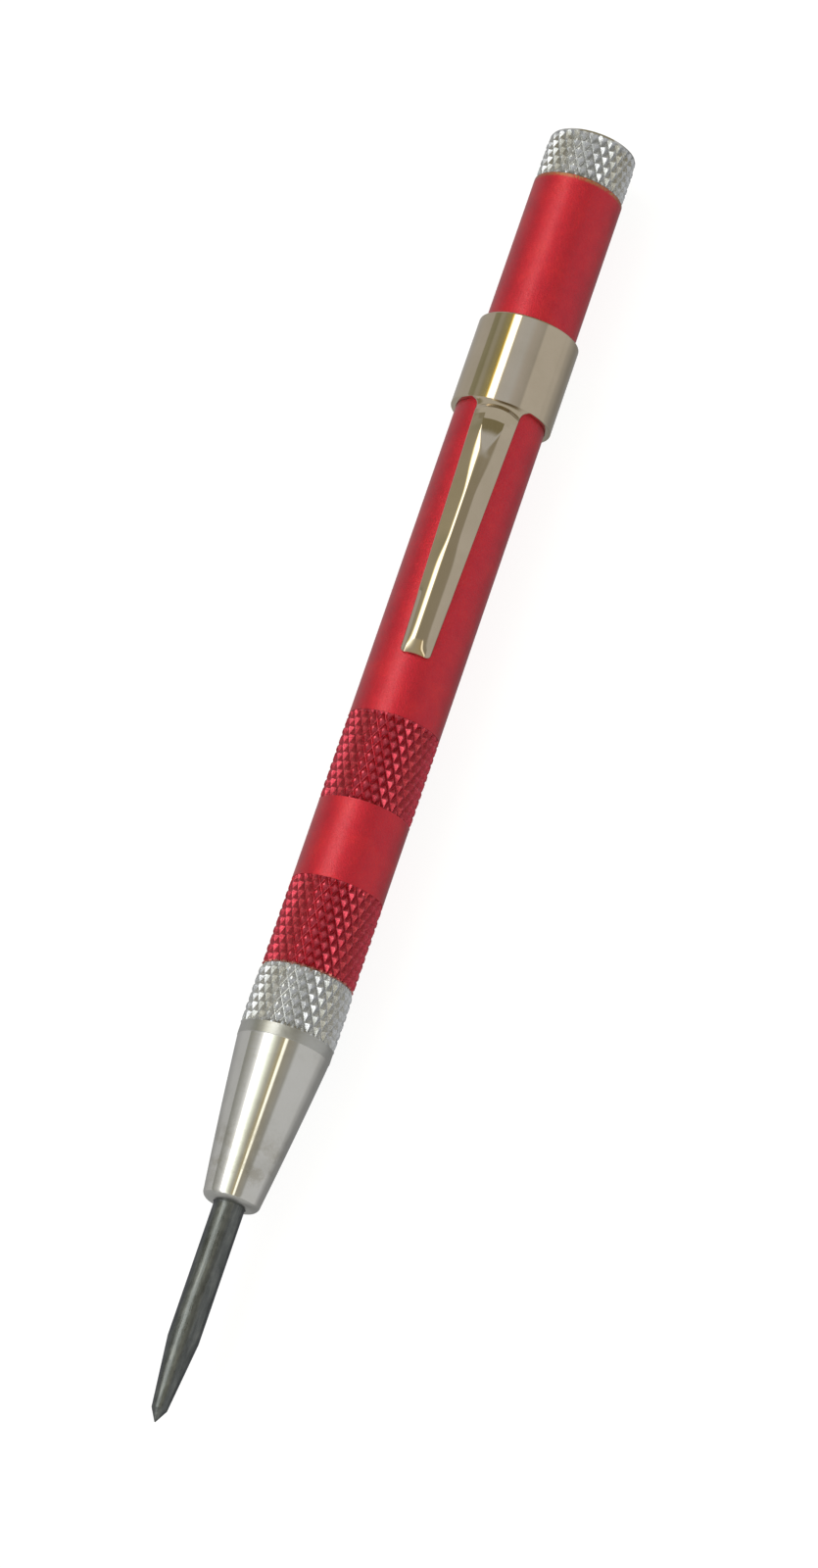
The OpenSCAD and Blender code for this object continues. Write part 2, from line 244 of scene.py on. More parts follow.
def finish_mesh(name, bm, sharp):
    """Turns a bmesh into an object with smooth faces and sharp edges above an angle in degrees."""
    bmesh.ops.remove_doubles(bm, verts=bm.verts, dist=WELD)
    bmesh.ops.recalc_face_normals(bm, faces=bm.faces)
    mesh = bpy.data.meshes.new(name)
    bm.to_mesh(mesh)
    bm.free()
    mesh.shade_smooth()
    mesh.set_sharp_from_angle(angle=math.radians(sharp))
    obj = bpy.data.objects.new(name, mesh)
    bpy.context.scene.collection.objects.link(obj)
    return obj


def smooth(t):
    t = min(max(t, 0.0), 1.0)
    return t * t * (3 - 2 * t)


def rise(t, start, end):
    """A smooth step from 0 at the start to 1 at the end, which may be the lower one."""
    return smooth((t - start) / (end - start))


def along_line(knees, d):
    """Height at a distance on a line given by its knees."""
    for (d0, h0), (d1, h1) in zip(knees, knees[1:]):
        if d <= d1:
            return h0 + (h1 - h0) * (d - d0) / (d1 - d0)
    return knees[-1][1]


def spread(start, end, count):
    """A count of even steps from the start to the end, without the start itself."""
    return [start + (end - start) * i / count for i in range(1, count + 1)]


def add_skin(bm, rings, index=0):
    """Faces between neighbouring rings of vertices. A ring may be a single one."""
    for a, b in zip(rings, rings[1:]):
        count = max(len(a), len(b))
        for k in range(count):
            m = (k + 1) % count
            quad = [a[k % len(a)], a[m % len(a)], b[m % len(b)], b[k % len(b)]]
            corners = list(dict.fromkeys(quad))
            if len(corners) > 2:
                bm.faces.new(corners).material_index = index


def add_lathe(bm, outline, segments=144, closed=True, index=0):
    """Turns an outline of (station, radius) points. A radius of 0 becomes a single point."""
    rings = []
    for s, r in outline:
        if r == 0:
            rings.append([bm.verts.new(place(s, 0, 0))])
        else:
            rings.append([bm.verts.new(place(s, r, TAU * k / segments)) for k in range(segments)])
    if closed:
        rings.append(rings[0])
    add_skin(bm, rings, index)


def arc(s, r, radius, a0, a1, steps):
    """Points of an arc about (s, r). The angle is 0 along the axis and 90 outwards, in degrees."""
    points = []
    for i in range(steps + 1):
        a = math.radians(a0 + (a1 - a0) * i / steps)
        points.append((s + radius * math.cos(a), r + radius * math.sin(a)))
    return points


def clipped(polygon, low, high):
    """Cuts a polygon of (u, v) points to low <= v <= high."""
    for sign, limit in ((1, low), (-1, -high)):
        kept = []
        for i, p in enumerate(polygon):
            q = polygon[i - 1]
            inside_p, inside_q = [sign * v >= limit - TOLERANCE / 1000 for v in (p[1], q[1])]
            if inside_p != inside_q:
                t = (sign * limit - q[1]) / (p[1] - q[1])
                kept.append((q[0] + t * (p[0] - q[0]), sign * limit))
            if inside_p:
                kept.append(p)
        polygon = kept
    return polygon


def groove(t):
    """Depth share of one set of grooves: 0 on the crest, 1 on the floor."""
    t = abs(t - math.floor(t) - 0.5) * 2
    return min(max((t - CREST_FLAT) / (1 - CREST_FLAT - FLOOR_FLAT), 0.0), 1.0)


def knurl_cells(high):
    """Flat cells of the knurling round the tool, as polygons of (u, v), up to a height of v. The
    grooves' edges make a lattice in u + v and u - v. A cell that lies in two flanks at once is
    parted along the line where they meet."""
    floor, crest_side = FLOOR_FLAT / 2, CREST_FLAT / 2
    knees = (0.0, floor, 0.5 - crest_side, 0.5 + crest_side, 1 - floor)
    steps = [i + k for i in range(-2 * DIAMONDS, 2 * DIAMONDS) for k in knees]
    spans = list(zip(steps, steps[1:]))
    for p0, p1 in spans:
        for q0, q1 in spans:
            low_v, high_v = (p0 - q1) / 2, (p1 - q0) / 2
            u = (p0 + q0) / 2
            if high_v < 0 or low_v > high or not -TOLERANCE <= u < DIAMONDS - TOLERANCE:
                continue
            square = [(p0, q0), (p1, q0), (p1, q1), (p0, q1)]
            flank = all(crest_side < abs((a + b) / 2 % 1 - 0.5) < 0.5 - floor
                        for a, b in ((p0, p1), (q0, q1)))
            rising = (p0 % 1 < 0.5) == (q0 % 1 < 0.5)
            if flank and rising:
                parts = [square[:3], [square[0], square[2], square[3]]]
            elif flank:
                parts = [[square[0], square[1], square[3]], square[1:]]
            else:
                parts = [square]
            for part in parts:
                cell = clipped([((p + q) / 2, (p - q) / 2) for p, q in part], 0.0, high)
                if len(cell) > 2:
                    yield cell


def add_knurl(bm, start, end, crest, root, base, fade_start, fade_end, falloff=0.0):
    """Diamond knurling between two stations, with u counted in diamonds round the tool and v
    along it. Both sets of grooves are cut, and the walls at the ends go in to the radius root.
    Each end fades to its radius in base. The crests fall by falloff towards the end, and no two
    diamonds are quite the same."""
    high = (end - start) / DIAMOND_LEN
    ring = {}
    cut = bm.verts.layers.float.get("cut") or bm.verts.layers.float.new("cut")

    def shape(u, v):
        """Radius at a spot, and its share of the full depth."""
        s = start + v * DIAMOND_LEN
        share = max(groove(u + v), groove(u - v))
        r = crest - falloff * rise(s, end - FALLOFF_LEN, end) - share * KNURL_DEPTH
        a = TAU * u / DIAMONDS
        spot = Vector((math.sin(a) * UNEVEN_ROUND, math.cos(a) * UNEVEN_ROUND, s * UNEVEN_ALONG))
        uneven = noise.noise(spot) + FINER_SHARE * noise.noise(spot * UNEVEN_FINER)
        r -= UNEVEN * (1 + uneven) * (1 - 0.5 * share)
        for here, fade, to in ((s - start, fade_start, base[0]), (end - s, fade_end, base[1])):
            if here < fade:
                r = to + (r - to) * smooth(here / fade)
        return r, share

    def vertex(u, v):
        key = (round(u * SPOTS) % (DIAMONDS * SPOTS), round(v * SPOTS))
        if key not in ring:
            r, share = shape(u, v)
            ring[key] = bm.verts.new(place(start + v * DIAMOND_LEN, r, TAU * u / DIAMONDS))
            ring[key][cut] = share
        return ring[key]

    for cell in knurl_cells(high):
        corners = list(dict.fromkeys(vertex(u, v) for u, v in cell))
        if len(corners) > 2 and bm.faces.get(corners) is None:
            bm.faces.new(corners).material_index = 1
    for v, s in ((0.0, start), (high, end)):
        level = round(v * SPOTS)
        keys = sorted(key for key in ring if key[1] == level)
        inner = [bm.verts.new(place(s, root, TAU * k / SPOTS / DIAMONDS)) for k, _ in keys]
        add_skin(bm, [[ring[key] for key in keys], inner])


def add_thread(bm, start, end, segments=72, rows=8):
    """Helical V thread between two stations, running out to its root at both ends."""
    rings = []
    count = int((end - start) / PITCH * rows)
    for i in range(count + 1):
        s = start + (end - start) * i / count
        share = min(smooth((s - start) / PITCH), smooth((end - s) / PITCH))
        ring = []
        for k in range(segments):
            t = ((s - start) / PITCH - k / segments) % 1.0
            tooth = min(1.0, THREAD_CREST * (1 - abs(2 * t - 1)))
            r = THREAD_R - THREAD_DEPTH * (1 - tooth * share)
            ring.append(bm.verts.new(place(s, r, TAU * k / segments)))
        rings.append(ring)
    add_skin(bm, rings)


def make_barrel():
    """The barrel's tube: two grips, a land with a small hole inside, and both female threads'
    bores, which are hidden and plain."""
    bm = bmesh.new()
    front_end = JOINT + FRONT_GRIP_LEN
    rear = front_end + GRIP_GAP
    rear_end = rear + REAR_GRIP_LEN
    core = BARREL_R - CORE_GAP
    front_bore, rear_bore = JOINT + FEMALE_FRONT_LEN, CAP - FEMALE_REAR_LEN
    add_lathe(bm, [(JOINT + SEAM, core), (front_end - LAP, core), (front_end - LAP, BARREL_R),
                   (rear + LAP, BARREL_R), (rear + LAP, core), (rear_end - LAP, core),
                   (rear_end - LAP, BARREL_R), (CAP - EDGE, BARREL_R), (CAP, BARREL_R - EDGE),
                   (CAP, FEMALE_R), (rear_bore, FEMALE_R), (rear_bore, BORE_R),
                   (LAND + LAND_LEN, BORE_R), (LAND + LAND_LEN, LAND_HOLE_R),
                   (LAND + LAND_CHAMFER, LAND_HOLE_R), (LAND, LAND_HOLE_R + LAND_CHAMFER),
                   (LAND, BORE_R), (front_bore, BORE_R), (front_bore, FEMALE_R),
                   (JOINT + SEAM, FEMALE_R)])
    plain, joint = BARREL_R - FADE_SINK, BARREL_R - JOINT_SINK
    add_knurl(bm, JOINT, front_end, BARREL_GRIP_R, core - LAP, (joint, plain), JOINT_FADE, FADE)
    add_knurl(bm, rear, rear_end, BARREL_GRIP_R, core - LAP, (plain, plain), FADE, FADE)
    return finish_mesh("barrel_shell", bm, sharp=18)


def make_nose():
    """The nose piece: rounded mouth, crowned cone, collar, grip, threaded spigot and bores."""
    bm = bmesh.new()
    cone_end = NOSE + CONE_LEN
    grip = cone_end + COLLAR_LEN
    core = NOSE_GRIP_R - CORE_GAP
    thread = JOINT + RELIEF
    mouth = arc(NOSE + NOSE_ROUND, CONE_FRONT_R - NOSE_ROUND, NOSE_ROUND, 180, 90, 10)
    dull_end = 7  # the dull part of the mouth's rounding ends at this point of it
    add_lathe(bm, [(NOSE, POINT_BORE_R)] + mouth[:dull_end + 1], closed=False, index=2)
    outline = mouth[dull_end:]
    steps = 12
    for i in range(1, steps + 1):
        t = i / steps
        r = CONE_FRONT_R + (CONE_BACK_R - CONE_FRONT_R) * t + 4 * CONE_CROWN * t * (1 - t)
        outline.append((NOSE + NOSE_ROUND + (CONE_LEN - NOSE_ROUND) * t, r))
    add_lathe(bm, outline, closed=False)
    add_lathe(bm, [(cone_end, CONE_BACK_R), (cone_end + COLLAR_BEVEL, COLLAR_R),
                   (grip + LAP, COLLAR_R)], closed=False, index=2)
    add_lathe(bm, [(grip + LAP, COLLAR_R), (grip + LAP, core), (JOINT - SEAM, core),
                   (JOINT - SEAM, THREAD_CORE_R), (thread, THREAD_CORE_R)], closed=False)
    add_thread(bm, thread, SPIGOT_END)
    add_lathe(bm, [(SPIGOT_END, THREAD_CORE_R), (SPIGOT_END, PLUNGER_BORE_R),
                   (PLUNGER_STOP, PLUNGER_BORE_R), (PLUNGER_STOP, POINT_BORE_R),
                   (NOSE, POINT_BORE_R)], closed=False)
    ends = (COLLAR_R, BARREL_R - 0.1)
    add_knurl(bm, grip, JOINT, NOSE_GRIP_R, core - LAP, ends, fade_start=0.15, fade_end=JOINT_FADE,
              falloff=0.08)
    return finish_mesh("nose_cone", bm, sharp=18)


def make_point():
    """The point, with a narrow groove in its shank inside the nose and a stud at its end."""
    bm = bmesh.new()
    land_end, groove, groove_end, land = NOSE + 0.3, NOSE + 0.6, NOSE + 2.0, NOSE + 2.25
    chamfer, stud = PLUNGER_STOP - 0.6, PLUNGER_STOP - 0.3
    add_lathe(bm, [*TIP_WORN, (TIP_R / TIP_SLOPE, TIP_R), (TAPER_LEN, POINT_R),
                   (NOSE - 0.1, POINT_R), (NOSE, POINT_LAND_R), (land_end, POINT_LAND_R),
                   (groove, POINT_RELIEF_R), (groove_end, POINT_RELIEF_R), (land, POINT_LAND_R),
                   (chamfer, POINT_LAND_R), (stud, POINT_STUD_R), (POINT_STUD_END, POINT_STUD_R),
                   (POINT_STUD_END, 0.0)], segments=96)
    return finish_mesh("point_rod", bm, sharp=20)


def make_cap():
    """The cap: a knurled head with a rounded rim and a shallow dimple, and a threaded shank."""
    bm = bmesh.new()
    head, grip_end = CAP + HEAD_GAP, TOTAL - HEAD_RIM[0][0]
    core = CAP_GRIP_R - CORE_GAP
    thread, thread_end = CAP_SHANK + LEAD_IN, CAP - RELIEF
    rim = [(TOTAL - back, CAP_GRIP_R - inwards) for back, inwards in HEAD_RIM]
    dimple = TOTAL - DIMPLE_DEPTH
    add_lathe(bm, [(head, THREAD_CORE_R), (head, core), (grip_end - 0.2, core)] + rim
              + [(TOTAL, DIMPLE_R), (dimple, DIMPLE_R - DIMPLE_SLOPE), (dimple, 0.0)], closed=False)
    add_thread(bm, thread, thread_end)
    add_lathe(bm, [(CAP_SHANK, 0.0), (CAP_SHANK, THREAD_CORE_R), (thread, THREAD_CORE_R)], closed=False)
    add_lathe(bm, [(thread_end, THREAD_CORE_R), (head, THREAD_CORE_R)], closed=False)
    ends = (CAP_GRIP_R - 0.12, CAP_GRIP_R - 0.1)
    add_knurl(bm, head, grip_end, CAP_GRIP_R, core - LAP, ends, fade_start=0.1, fade_end=0.25,
              falloff=0.06)
    return finish_mesh("cap_head", bm, sharp=18)


def circle_height(across, radius):
    """Height of a circle at a distance from its middle, and 0 beyond its edge."""
    return math.sqrt(max(radius ** 2 - across ** 2, 0.0))


def clip_width(s):
    """Half width of the tongue and neck at a station."""
    root = BAND - NECK_R
    if s > root:
        return ROOT_W + NECK_R - circle_height(min(s - root, NECK_R), NECK_R)
    width = ROOT_W + (END_W - ROOT_W) * (root - s) / (root - TONGUE_END)
    into = END_CORNER - (s - TONGUE_END)
    if into > 0:
        width -= END_CORNER - circle_height(into, END_CORNER)
    return width


def ridge_bend(s):
    """Width over which the ridge bends on each side: broad by the neck, tight, then broader."""
    near, far = rise(s, *NECK_BEND_SPAN), rise(s, *END_BEND_SPAN)
    return BEND + near * (NECK_BEND - BEND) + far * (END_BEND - BEND)


def roof_drop(y, s):
    """How far a flange lies below the ridge at a distance to the side: flat, bent, then sloping."""
    bend = ridge_bend(s)
    flat = RIDGE_FLAT - FLAT_LOSS * bend
    top = rise(s, *TOP_SPAN)
    bend += (TOP_BEND - bend) * top
    flat += (TOP_FLAT - flat) * top
    t = min(max((abs(y) - flat) / bend, 0.0), 1.0)
    beyond = max(abs(y) - flat - bend, 0.0)
    return ROOF * (bend * (t ** 3 - t ** 4 / 2) + beyond)


def row_shift(d, y):
    """How far a row of the clip, counted from the band, bows away from it off the middle."""
    bow = rise(d, *BOW_IN) * rise(d, *BOW_OUT)
    notch = rise(BAND - TONGUE_END - d, NOTCH_LEN, 0.0) * max(1 - (y / NOTCH_W) ** 2, 0.0)
    return ROW_BOW * min(abs(y), ROOT_W) ** 2 * bow - NOTCH * notch


def soft_min(a, b, blend):
    """The lower of two heights, rounded where they cross."""
    gap = max(blend - abs(a - b), 0.0) / blend
    return min(a, b) - gap * gap * blend / 4


def ridge_height(d, along, left):
    """Height of the ridge above the flanges' edges, by the distance from the band, by the share
    of the tongue's length, and by the distance from its end."""
    height = ROOT_DROP + (END_DROP - ROOT_DROP) * along + SWELL * rise(along, SWELL_END, 0.0)
    height -= START_CURVE * max(START_LEN - d, 0.0) ** 2 + FOOT_SLOPE * max(FOOT_LEN - d, 0.0)
    return height - SINK_CURVE * max(SINK_LEN - left, 0.0) ** 2


def clip_height(d, y):
    """Height of the clip's outer face above the axis, by the row's distance from the band: the
    band's arc, a stepped neck, and then a roof. Its ridge rises out of the neck, sinks a little
    towards the end, and stops there in a round hip."""
    share = along_line(NECK_RISE, d)
    arc_height = circle_height(y, BAND_R) + along_line(CREASE, d)
    d = max(d, NECK_END)
    s = BAND - d
    left = max(s - TONGUE_END, 0.0)
    along = min((d - NECK_END) / (BAND - NECK_END - TONGUE_END), 1.0)
    width = ROOT_W + (END_W - ROOT_W) * along
    edge = RIDGE_TOP - ROOT_DROP + (EDGE_END_H - RIDGE_TOP + ROOT_DROP) * along
    roof = ridge_height(d, along, left) * (1 - roof_drop(y, s) / roof_drop(width, s))
    roof = soft_min(roof, HIP_H + HIP_SLOPE * left - HIP_CROWN * y * y, HIP_ROUND)
    outer = max(abs(y) - width + DROOP_W, 0.0)
    droop = rise(s, *DROOP_SPAN) * DROOP * outer ** 2 / (outer + DROOP_SOFT)
    return arc_height + (edge + roof - droop - arc_height) * share


def under_height(d, y):
    """Height of the clip's inner face, kept off the barrel."""
    return max(clip_height(d, y) - SHEET, circle_height(y, BAND_IN_R))


def painted_shade_share(d, y):
    """Painted shade in the crease, on the -Y side of its middle, and on the step up to its +Y end."""
    crease = rise(d, -0.015, 0.035) * rise(d, 0.32, 0.12) * rise(y, 0.9, -0.3) * rise(y, -2.5, -1.4)
    step = rise(d, 0.53, 0.59) * rise(d, 1.03, 0.95) * rise(y, 1.7, 0.8)
    return max(crease, STEP_PAINTED_SHADE * step)


def tongue_rows():
    """Distances of the rows from the band, closest in the neck and in the end's corners."""
    rows = [NECK_R * (1 - math.cos(math.pi / 2 * i / 10)) for i in range(10)]
    rows += [knee for knee, _ in NECK_RISE[:-1] + CREASE[:-1]] + NECK_ROWS
    rows = sorted(set(rows + [ROWS_FROM] + spread(ROWS_FROM, ROWS_CLOSE_TO, 29)))
    corner = BAND - TONGUE_END - END_CORNER
    rows += spread(ROWS_CLOSE_TO, ROWS_FINE_TO, 40) + spread(ROWS_FINE_TO, corner - HIP_LEN, 44)
    rows += spread(corner - HIP_LEN, corner, 14)
    rows += [corner + END_CORNER * math.sin(math.pi / 2 * i / 10) for i in range(1, 11)]
    return rows


def row_outline(d):
    """Outline of a row as (y, height) points: over the top, round a rim, back below, and round
    the other rim."""
    width = ROOT_W
    for _ in range(6):
        width = clip_width(BAND - d - row_shift(d, width))
    inner = width - RIM
    columns = 72
    flat = [-1.0, -0.975] + [2 * k / columns - 1 for k in range(1, columns)] + [0.975, 1.0]
    turns = [math.radians(15 * k) for k in range(1, 6)]

    def rim(side, a, top):
        y = side * (inner + RIM * math.sin(a))
        sink = RIM * (1 - math.cos(a))
        return y, clip_height(d, y) - sink if top else under_height(d, y) + sink

    outline = [(inner * share, clip_height(d, inner * share)) for share in flat]
    outline += [rim(1, a, True) for a in turns] + [rim(1, a, False) for a in reversed(turns)]
    outline += [(inner * share, under_height(d, inner * share)) for share in reversed(flat)]
    return outline + [rim(-1, a, False) for a in turns] + [rim(-1, a, True) for a in reversed(turns)]


def add_tongue(bm):
    painted_shade = bm.verts.layers.float.new("cut")
    rings = []
    for d in tongue_rows():
        ring = []
        for y, h in row_outline(d):
            x = BAND - d - row_shift(d, y) + TIP_X
            ring.append(bm.verts.new(Vector((x * MM, y * MM, (AXIS_Z + h) * MM))))
            # Each vertex keeps its share of painted shade, in the crease and on the step.
            ring[-1][painted_shade] = painted_shade_share(d, y)
        rings.append(ring)
    add_skin(bm, rings)
    bm.faces.new(rings[-1])


def add_band(bm, segments=192):
    """Ring of sheet. Its lower outer edge is square where the neck leaves it."""
    neck = math.asin((ROOT_W + NECK_R) / BAND_R)
    turn = 0.08  # radians from the neck over which the edge gets its rounding
    rings = [[] for _ in range(13)]
    for k in range(segments):
        a = TAU * k / segments
        off = min(a, TAU - a)
        soft = BAND_SOFT * smooth((off - neck) / turn)
        spots = ((BAND + soft, BAND_R), (BAND + soft + 0.06, BAND_R), (BAND + 4, BAND_R),
                 (BAND_END - 0.2, BAND_R), (BAND_END - BAND_SOFT, BAND_R),
                 (BAND_END - BAND_SOFT / 2, BAND_R - 0.02), (BAND_END - 0.02, BAND_R - BAND_SOFT / 2),
                 (BAND_END, BAND_R - BAND_SOFT), (BAND_END, BAND_IN_R), (BAND, BAND_IN_R),
                 (BAND, BAND_R - soft), (BAND + soft * 0.14, BAND_R - soft * 0.5),
                 (BAND + soft * 0.5, BAND_R - soft * 0.14))
        for ring, (s, r) in zip(rings, spots):
            ring.append(bm.verts.new(place(s, r, a)))
    add_skin(bm, rings + rings[:1])


def make_clip():
    """The clip as one piece, which bends at the neck."""
    bm = bmesh.new()
    add_band(bm)
    add_tongue(bm)
    return finish_mesh("pocket_clip_sheet", bm, sharp=40)


def make_spring(name, radius, wire, turns, start, end):
    """Coil spring between two stations. Its end turns are closed."""
    bm = bmesh.new()
    closed = 1.06 * wire
    pitch = (end - start - wire - 2 * closed) / (turns - 2)
    steps, sides = 32, 12
    rings = []
    for i in range(turns * steps + 1):
        t = i / steps
        if t < 1:
            climb = closed * t
        elif t > turns - 1:
            climb = closed + (turns - 2) * pitch + closed * (t - turns + 1)
        else:
            climb = closed + (t - 1) * pitch
        ring = []
        for k in range(sides):
            b = TAU * k / sides
            s = start + wire / 2 + climb + wire / 2 * math.sin(b)
            ring.append(bm.verts.new(place(s, radius + wire / 2 * math.cos(b), TAU * t)))
        rings.append(ring)
    add_skin(bm, rings)
    bm.faces.new(rings[0])
    bm.faces.new(rings[-1])
    return finish_mesh(name, bm, sharp=60)


class Nodes:
    """A short way of writing the node tree of a material or a world."""

    def __init__(self, owner):
        owner.use_nodes = True
        self.tree = owner.node_tree

    def add(self, kind, **settings):
        node = self.tree.nodes.new("ShaderNode" + kind)
        for name, value in settings.items():
            setattr(node, name, value)
        return node

    def feed(self, socket, value):
        """Links an output to a socket, or sets a number or a colour on it."""
        if isinstance(value, bpy.types.NodeSocket):
            self.tree.links.new(value, socket)
        else:
            socket.default_value = value

    def axes(self, coordinates):
        """X, Y and Z of one kind of texture coordinates."""
        split = self.add("SeparateXYZ")
        self.feed(split.inputs[0], self.add("TexCoord").outputs[coordinates])
        return split.outputs

    def math(self, operation, a, b):
        node = self.add("Math", operation=operation)
        for socket, value in zip(node.inputs, (a, b)):
            self.feed(socket, value)
        return node.outputs["Value"]

    def plus(self, a, b, share):
        """Value a with a share of b added to it."""
        return self.math("ADD", a, self.math("MULTIPLY", b, share))

    def mix(self, factor, a, b):
        """Colour a, and b where the factor is 1."""
        node = self.add("Mix", data_type="RGBA")
        for number, value in ((0, factor), (6, a), (7, b)):
            self.feed(node.inputs[number], value)
        return node.outputs[2]

    def range(self, value, low, high, out_low=0.0, out_high=1.0):
        """Takes low and high to out_low and out_high, which also hold beyond them."""
        node = self.add("MapRange")
        for name, number in (("From Min", low), ("From Max", high), ("To Min", out_low),
                             ("To Max", out_high)):
            node.inputs[name].default_value = number
        self.feed(node.inputs["Value"], value)
        return node.outputs["Result"]

    def ramp(self, value, stops):
        """Colour by a value, from stops of a position and a colour, or a number for a grey."""
        node = self.add("ValToRGB")
        elements = node.color_ramp.elements
        while len(elements) < len(stops):
            elements.new(0.5)
        for element, (position, colour) in zip(elements, stops):
            element.position = position
            red, green, blue = colour if isinstance(colour, tuple) else [colour] * 3
            element.color = (red, green, blue, 1.0)
        self.feed(node.inputs["Fac"], value)
        return node.outputs["Color"]


class Metal(Nodes):
    """A material of bare, plated or dyed metal."""

    def __init__(self, name):
        self.material = bpy.data.materials.new(name)
        super().__init__(self.material)
        self.shader = self.tree.nodes["Principled BSDF"]
        self.set(Metallic=1.0)

    def set(self, **values):
        for name, value in values.items():
            self.shader.inputs[name.replace("_", " ")].default_value = value

    def cut(self):
        """Share of the knurling's depth on the grips, and of the painted shade on the clip, kept with
        the mesh.
        """
        return self.add("Attribute", attribute_name="cut").outputs["Fac"]

    def span_x(self, low, high):
        """0 at one station and 1 at another, and the same beyond them."""
        low, high = [(s + TIP_X) * MM for s in (low, high)]
        return self.range(self.axes("Object")["X"], low, high)

    def noise(self, along, across, detail, roughness):
        """Noise of a fineness along the tool and across it."""
        scaled = self.add("Mapping")
        scaled.inputs["Scale"].default_value = (along, across, across)
        self.feed(scaled.inputs["Vector"], self.add("TexCoord").outputs["Object"])
        node = self.add("TexNoise")
        for name, value in (("Vector", scaled.outputs["Vector"]), ("Scale", 1.0), ("Detail", detail),
                            ("Roughness", roughness)):
            self.feed(node.inputs[name], value)
        return node.outputs["Fac"]

    def turned_lines(self, fine):
        """Fine rings left by turning: quick change along the axis, slow change round it."""
        return self.noise(fine, fine / 90, 3.0, 0.7)

    def surface(self, colour, roughness, height, distance, strength):
        """Feeds the shader, with a bump whose distance is in metres, and gives the material."""
        bump = self.add("Bump")
        for name, value in (("Strength", strength), ("Distance", distance), ("Height", height)):
            self.feed(bump.inputs[name], value)
        for name, value in (("Base Color", colour), ("Roughness", roughness),
                            ("Normal", bump.outputs["Normal"])):
            self.feed(self.shader.inputs[name], value)
        return self.material


def red_anodised():
    """Dyed anodised film on aluminium: red metal under a thin clear film, worn at the rear end."""
    n = Metal("red_anodised")
    cloud = n.noise(420, 420, 5.0, 0.6)
    grain = n.noise(5200, 6500, 3.0, 0.65)
    tone = n.plus(n.math("MULTIPLY", cloud, 0.6), grain, 0.4)
    colour = n.ramp(tone, [(0.3, (0.60, 0.006, 0.028)), (0.5, (0.72, 0.011, 0.033)),
                           (0.72, (0.86, 0.026, 0.034))])
    worn = n.math("MULTIPLY", n.span_x(CAP - 0.55, CAP - 0.28), n.range(grain, 0.42, 0.52, 0.2, 1.0))
    colour = n.mix(worn, colour, (0.50, 0.27, 0.10, 1.0))
    roughness = n.range(cloud, 0.3, 0.7, 0.38, 0.48)
    height = n.plus(grain, n.turned_lines(9000), 0.3)
    n.set(Specular_Tint=RED_TINT, Coat_Weight=1.0, Coat_Roughness=0.35, Coat_IOR=1.5)
    return n.surface(colour, roughness, height, 0.00009, 0.8)


def red_knurled():
    """The same film on the knurling: darker with the depth of the cut, as painted shade, lighter and
    pinker on the crests, partly scuffs and partly a painted highlight, and worn in front.
    """
    n = Metal("red_anodised_knurl")
    cloud = n.noise(1100, 1100, 5.0, 0.65)
    grain = n.noise(6500, 6500, 3.0, 0.65)
    # Painted shade darkens the colour with the depth of the cut; the pinker top of the ramp is partly a
    # painted highlight.
    tone = n.plus(n.range(grain, 0.3, 0.7, 0.3, 1.0), n.cut(), -0.35)
    colour = n.ramp(tone, [(0.0, (0.30, 0.008, 0.024)), (0.45, (0.53, 0.022, 0.048)),
                           (0.95, (0.78, 0.10, 0.14))])
    worn = n.math("MULTIPLY", n.span_x(JOINT + 0.3, JOINT + 0.1), n.range(grain, 0.42, 0.52, 0.2, 0.9))
    colour = n.mix(worn, colour, (0.50, 0.36, 0.26, 1.0))
    roughness = n.range(cloud, 0.35, 0.65, 0.15, 0.36)
    n.set(Specular_Tint=RED_TINT, Coat_Weight=0.8, Coat_Roughness=0.3)
    return n.surface(colour, roughness, grain, 0.00004, 0.8)


def bare_aluminium():
    """Turned aluminium: rings left by the tool, and handling smudges near the point."""
    n = Metal("bare_aluminium")
    wide = n.turned_lines(900)
    cloud = n.noise(300, 260, 5.0, 0.6)
    blotch = n.noise(420, 380, 6.0, 0.7)
    colour = n.ramp(cloud, [(0.3, (0.63, 0.62, 0.58)), (0.5, (0.71, 0.70, 0.66)),
                            (0.8, (0.74, 0.73, 0.70))])
    near_tip = n.math("MULTIPLY", n.span_x(NOSE + 8.5, NOSE + 5.0), n.span_x(NOSE, NOSE + 3.0))
    smudge = n.math("MULTIPLY", near_tip, n.range(blotch, 0.48, 0.64, 0.0, 0.55))
    colour = n.mix(smudge, colour, (0.42, 0.39, 0.31, 1.0))
    roughness = n.plus(n.range(wide, 0.3, 0.7, 0.035, 0.09), smudge, 0.25)
    height = n.plus(wide, n.turned_lines(6500), 0.35)
    n.set(Specular_Tint=(0.8, 0.8, 0.8, 1.0))
    return n.surface(colour, roughness, height, 0.000018, 0.6)


def dull_aluminium():
    """The collar behind the cone and the nose's mouth: greyer, and scuffed round the tool."""
    n = Metal("dull_aluminium")
    cloud = n.noise(700, 500, 5.0, 0.65)
    colour = n.ramp(cloud, [(0.3, (0.47, 0.47, 0.44)), (0.55, (0.54, 0.54, 0.51)),
                            (0.8, (0.59, 0.59, 0.57))])
    roughness = n.range(cloud, 0.3, 0.7, 0.3, 0.42)
    return n.surface(colour, roughness, n.turned_lines(5000), 0.00002, 0.6)


